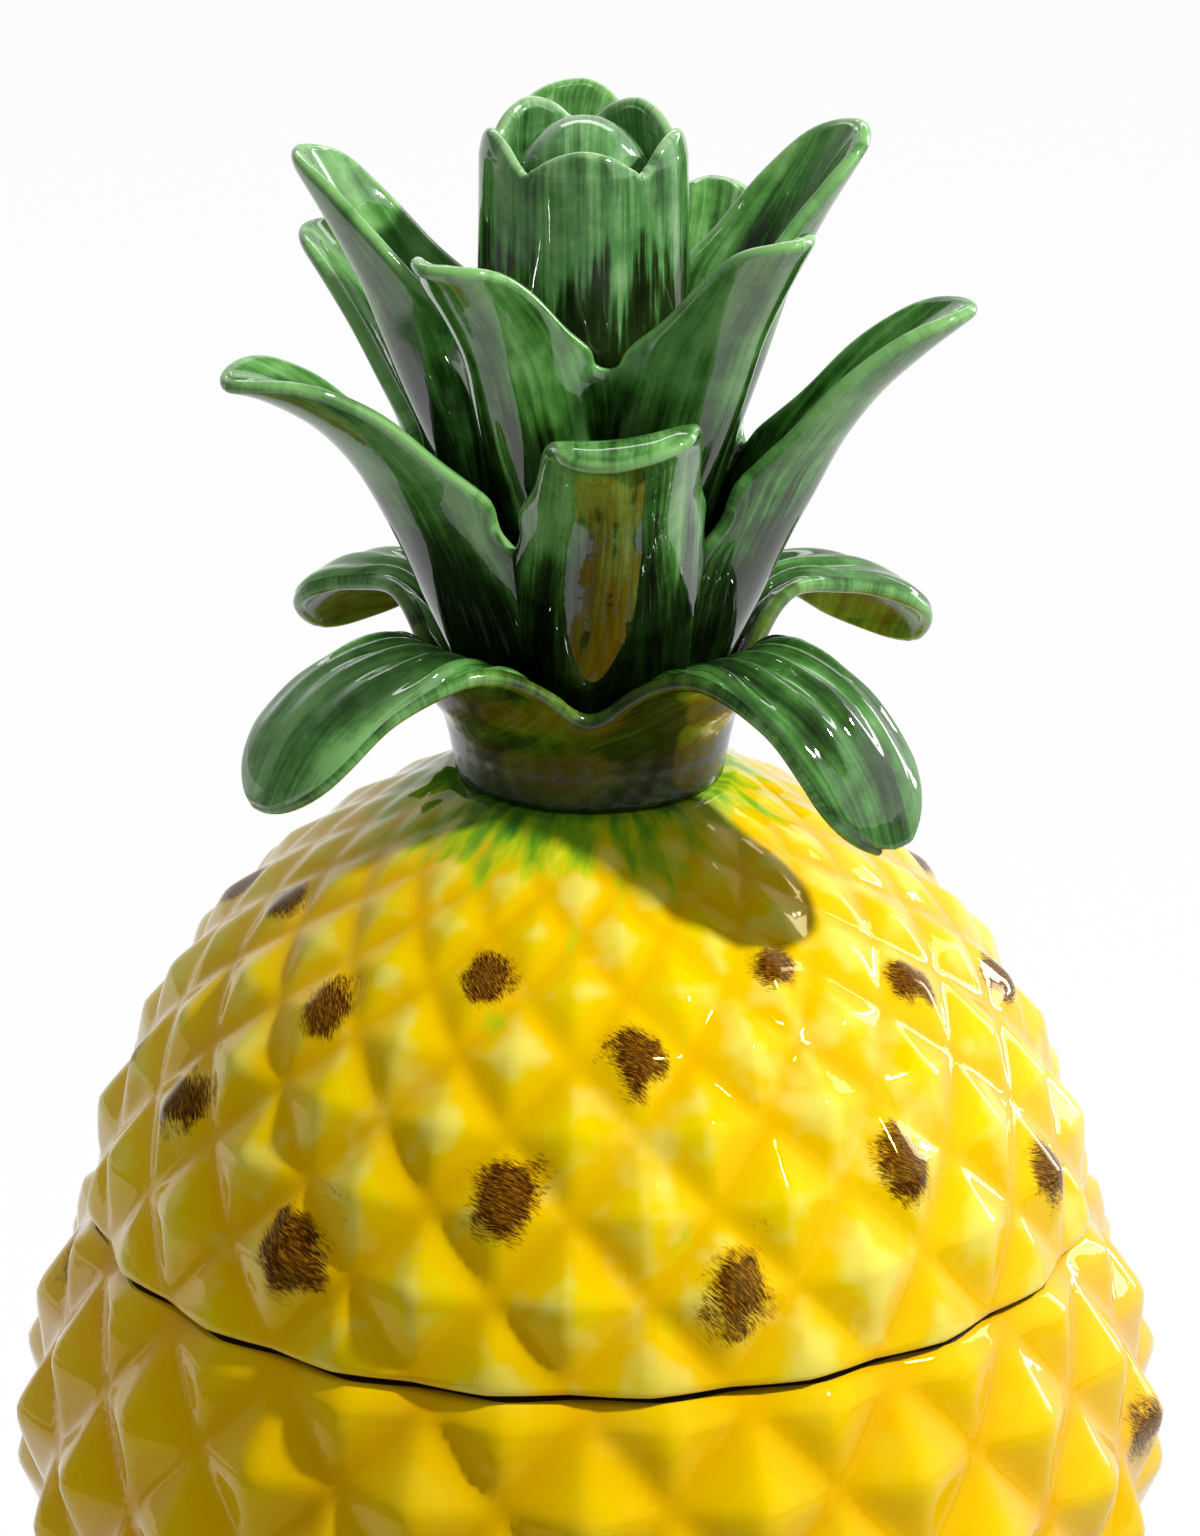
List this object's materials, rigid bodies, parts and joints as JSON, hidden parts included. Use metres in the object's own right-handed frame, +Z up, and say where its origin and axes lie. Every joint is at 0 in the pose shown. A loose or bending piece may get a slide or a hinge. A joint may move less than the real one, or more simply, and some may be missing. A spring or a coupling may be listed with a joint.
{
  "type": "pineapple jar with lid",
  "caption": "Glazed ceramic pineapple jar: faceted yellow pot and domed lid that lifts off by its green crown of leaves.",
  "frame": {"origin": "centre of the foot's resting plane", "axes": "+Z up through the crown; -Y is the front, where the notch between two lower leaves faces the viewer"},
  "size_m": [0.2366, 0.2366, 0.4005],
  "materials": {
    "pot_glaze": "glossy warm yellow glaze",
    "lid_glaze": "glossy lemon yellow glaze",
    "ring_glaze": "thin cream glaze",
    "leaf_glaze": "glossy brushed green glaze",
    "bud_glaze": "glossy brushed green glaze"
  },
  "bodies": {
    "pot": {"pot_body": "pot_glaze"},
    "lid": {"lid_dome": "lid_glaze", "lid_locating_ring": "ring_glaze", "lower_leaf_front_left": "leaf_glaze", "lower_leaf_front_right": "leaf_glaze", "lower_leaf_back_left": "leaf_glaze", "lower_leaf_back_right": "leaf_glaze", "middle_leaf_front": "leaf_glaze", "middle_leaf_left": "leaf_glaze", "middle_leaf_right": "leaf_glaze", "middle_leaf_back_left": "leaf_glaze", "middle_leaf_back_right": "leaf_glaze", "upper_leaf_front_left": "leaf_glaze", "upper_leaf_front_right": "leaf_glaze", "upper_leaf_left": "leaf_glaze", "upper_leaf_right": "leaf_glaze", "upper_leaf_back": "leaf_glaze", "bud_petal_front": "bud_glaze", "bud_petal_left": "bud_glaze", "bud_petal_right": "bud_glaze", "bud_petal_back_left": "bud_glaze", "bud_petal_back_right": "bud_glaze", "bud_core": "bud_glaze"}
  },
  "joints": [
    {"name": "lid_lift", "type": "slide", "parent": "pot", "child": "lid", "axis": [0, 0, 1], "range_m": [0, 0.15]}
  ]
}
